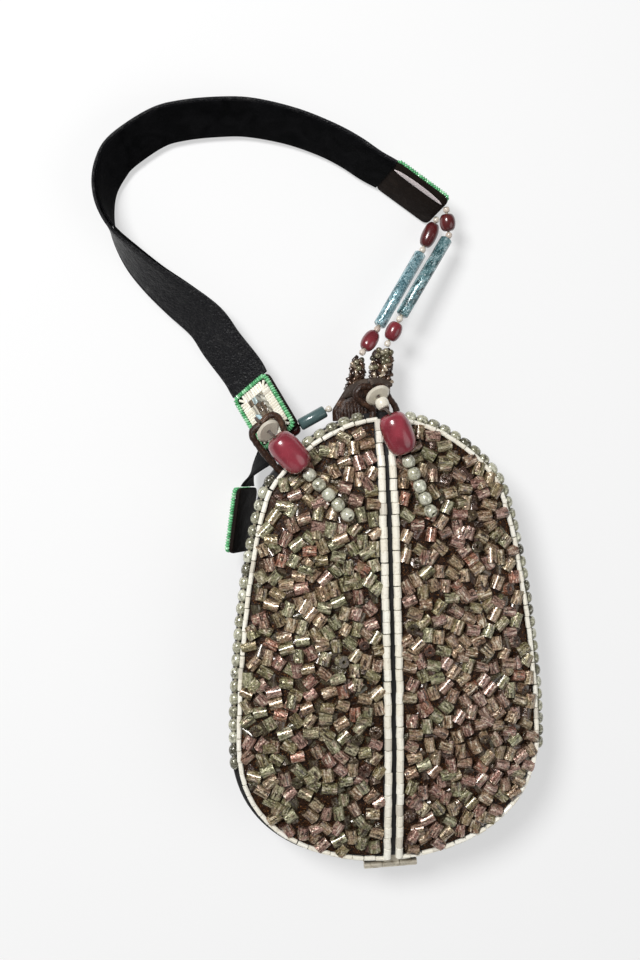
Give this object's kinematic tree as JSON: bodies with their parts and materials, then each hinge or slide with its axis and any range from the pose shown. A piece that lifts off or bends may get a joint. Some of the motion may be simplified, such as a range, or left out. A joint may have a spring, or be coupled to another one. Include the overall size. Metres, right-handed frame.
{
  "type": "beaded box bag",
  "caption": "Small hard evening bag with a domed, bead-covered lid, beaded rims, two bead pulls and a twisted strap handle on bead links.",
  "frame": {"origin": "middle of the flat back face that the bag lies on", "axes": "+Z out of the bag's front, +Y towards the strap end, +X to the right seen from the front"},
  "size_m": [0.1745, 0.3091, 0.0453],
  "materials": {
    "black_shell": "satin black leather",
    "black_velvet": "matte velvet",
    "lining_fabric": "satin lining cloth",
    "hinge_metal": "aged satin",
    "field_beads": "metal-lined and satin glass beads, opaque",
    "cream_glass": "opaque glossy",
    "pearl_beads": "opaque pearl",
    "black_leather": "satin",
    "brown_leather": "satin",
    "green_seeds": "opaque glossy",
    "shell_mosaic": "polished shell chips in a resin ground",
    "bead_cord": "waxed thread",
    "dark_red_glass": "opaque glossy",
    "red_resin": "polished resin",
    "blue_glass": "foil-lined, opaque"
  },
  "bodies": {
    "root": {"back_shell": "black_shell", "back_lining": "lining_fabric", "rim_beads_right": "pearl_beads", "rim_beads_left": "pearl_beads", "rim_beads_top": "pearl_beads", "hinge_leaf_back": "hinge_metal", "hinge_pin": "hinge_metal", "catch_magnet": "hinge_metal", "wishbone_tab": "brown_leather", "left_patch_plate": "brown_leather", "left_patch_seeds": "green_seeds", "left_patch_bugles": "cream_glass", "left_patch_mosaic": "shell_mosaic", "spacer_cord": "bead_cord", "spacer_red_bead": "dark_red_glass", "spacer_tube": "blue_glass", "strap_tail": "black_leather", "side_patch_plate": "brown_leather", "side_patch_seeds": "green_seeds", "side_patch_bugles": "cream_glass", "side_patch_mosaic": "shell_mosaic"},
    "lid": {"lid_shell": "black_shell", "lid_lining": "lining_fabric", "bead_field_left": "field_beads", "bead_field_right": "field_beads", "edge_beads_left": "cream_glass", "edge_beads_right": "cream_glass", "hinge_leaf_lid": "hinge_metal", "catch_plate": "hinge_metal", "pull_loop_left": "brown_leather", "pull_loop_right": "brown_leather"},
    "pull_left": {"pull_cord_left": "bead_cord", "pull_disc_left": "cream_glass", "pull_barrel_left": "red_resin", "pull_strand_left": "pearl_beads"},
    "pull_right": {"pull_cord_right": "bead_cord", "pull_disc_right": "cream_glass", "pull_bead_right": "cream_glass", "pull_barrel_right": "red_resin", "pull_strand_right": "pearl_beads"},
    "handle": {"strap_band": "black_leather", "strap_velvet": "black_velvet", "right_patch_plate": "brown_leather", "right_patch_seeds": "green_seeds", "right_patch_bugles": "cream_glass", "right_patch_mosaic": "shell_mosaic", "link_cord_left": "bead_cord", "link_cord_right": "bead_cord", "upper_red_bead_left": "dark_red_glass", "upper_red_bead_right": "dark_red_glass", "lower_red_bead_left": "dark_red_glass", "lower_red_bead_right": "dark_red_glass", "link_tube_left": "blue_glass", "link_tube_right": "blue_glass"}
  },
  "joints": [
    {"name": "lid_hinge", "type": "hinge", "parent": "root", "child": "lid", "pos_m": [0, -0.0928, 0.02435], "axis": [1, 0, 0], "range_deg": [0, 100]},
    {"name": "pull_left_lift", "type": "hinge", "parent": "lid", "child": "pull_left", "pos_m": [-0.04837, 0.08802, 0.0273], "axis": [-0.7513, -0.66, 0], "range_deg": [0, 100]},
    {"name": "pull_right_lift", "type": "hinge", "parent": "lid", "child": "pull_right", "pos_m": [-0.00392, 0.10116, 0.0273], "axis": [-0.9272, -0.3746, 0], "range_deg": [0, 100]},
    {"name": "handle_lift", "type": "hinge", "parent": "root", "child": "handle", "pos_m": [-0.0439, 0.1084, 0.0132], "axis": [0.977, 0.1943, 0.0883], "range_deg": [0, 85]}
  ]
}
